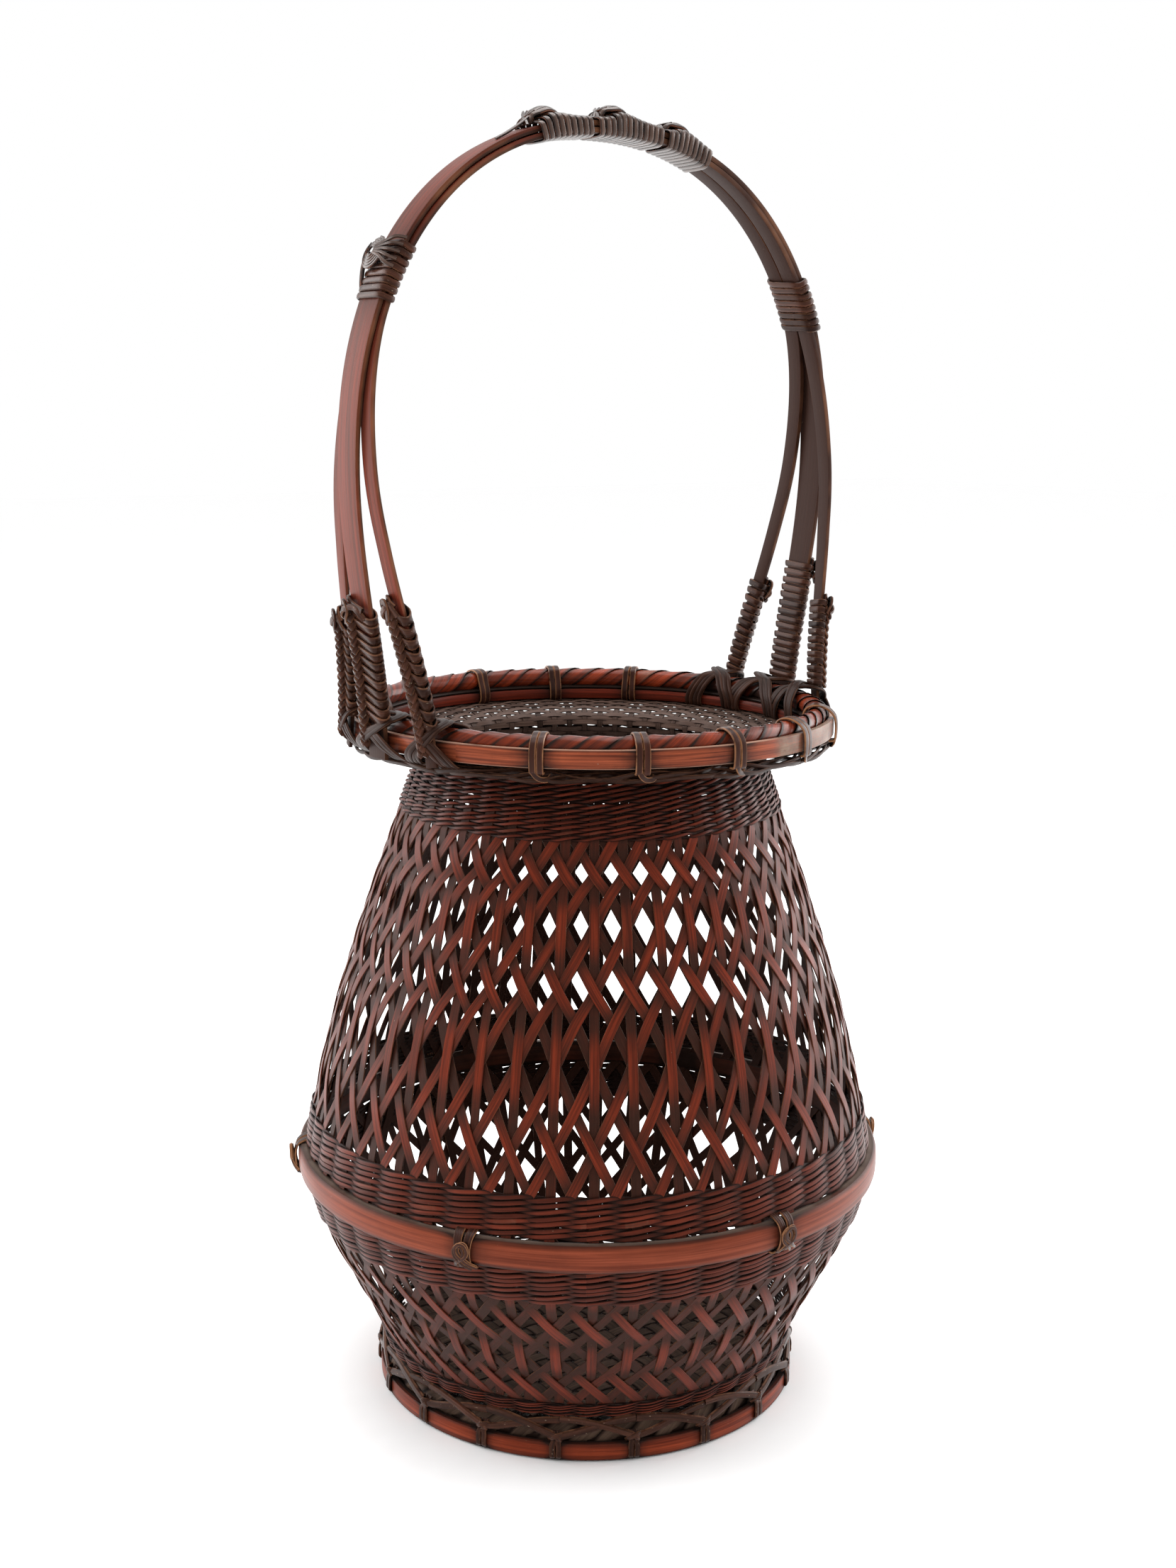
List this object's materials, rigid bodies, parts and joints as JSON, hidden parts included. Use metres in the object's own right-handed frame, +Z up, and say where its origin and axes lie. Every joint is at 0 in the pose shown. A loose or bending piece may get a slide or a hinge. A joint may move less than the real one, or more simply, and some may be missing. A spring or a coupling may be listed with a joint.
{
  "type": "ikebana basket",
  "caption": "Tall woven flower basket with an openwork body, a belt round its widest part, a hooped foot, a bound rim and an arched handle lashed to the rim.",
  "frame": {"origin": "on the floor, under the centre of the foot", "axes": "+Z up, X along the span of the handle, -Y towards the front strip of the handle"},
  "size_m": [0.2114, 0.2168, 0.4507],
  "materials": {
    "red_bamboo": "lacquered smoked bamboo, red-brown, satin",
    "brown_bamboo": "lacquered smoked bamboo strips, brown, satin",
    "smoked_bamboo": "smoked bamboo, dark brown, dull",
    "rattan": "split rattan, near black, glossy"
  },
  "bodies": {
    "root": {"foot_hoop": "red_bamboo", "foot_roll": "smoked_bamboo", "foot_lacing": "rattan", "base_mat": "smoked_bamboo", "bowl_weave": "brown_bamboo", "lower_twined_band": "smoked_bamboo", "belt_hoop": "red_bamboo", "upper_twined_band": "smoked_bamboo", "body_weave": "brown_bamboo", "neck_twined_band": "smoked_bamboo", "neck_wall": "smoked_bamboo", "belt_knot_1": "rattan", "belt_knot_2": "rattan", "belt_knot_3": "rattan", "belt_knot_4": "rattan", "belt_knot_5": "rattan", "belt_knot_6": "rattan", "rim_outer_hoop": "red_bamboo", "rim_inner_hoop": "brown_bamboo", "rim_roll": "brown_bamboo", "rim_under_lacing": "rattan", "rim_tie_3": "rattan", "rim_tie_4": "rattan", "rim_tie_5": "rattan", "rim_tie_6": "rattan", "rim_tie_7": "rattan", "rim_tie_11": "rattan", "rim_tie_12": "rattan", "rim_tie_13": "rattan", "rim_tie_14": "rattan", "rim_tie_15": "rattan", "handle_strip_front": "brown_bamboo", "handle_strip_centre": "brown_bamboo", "handle_strip_back": "brown_bamboo", "leg_lashing_left_front": "rattan", "leg_lashing_left_centre": "rattan", "leg_lashing_left_back": "rattan", "leg_lashing_right_front": "rattan", "leg_lashing_right_centre": "rattan", "leg_lashing_right_back": "rattan", "leg_chain_left_front": "rattan", "leg_chain_left_centre": "rattan", "leg_chain_left_back": "rattan", "leg_chain_right_front": "rattan", "leg_chain_right_centre": "rattan", "leg_chain_right_back": "rattan", "foot_cross_left_front": "rattan", "foot_cross_left_centre": "rattan", "foot_cross_left_back": "rattan", "foot_cross_right_front": "rattan", "foot_cross_right_centre": "rattan", "foot_cross_right_back": "rattan", "crown_binding_left": "rattan", "crown_binding_middle": "rattan", "crown_binding_right": "rattan", "crown_cord": "rattan", "shoulder_binding_left": "rattan", "shoulder_binding_right": "rattan"}
  },
  "joints": []
}
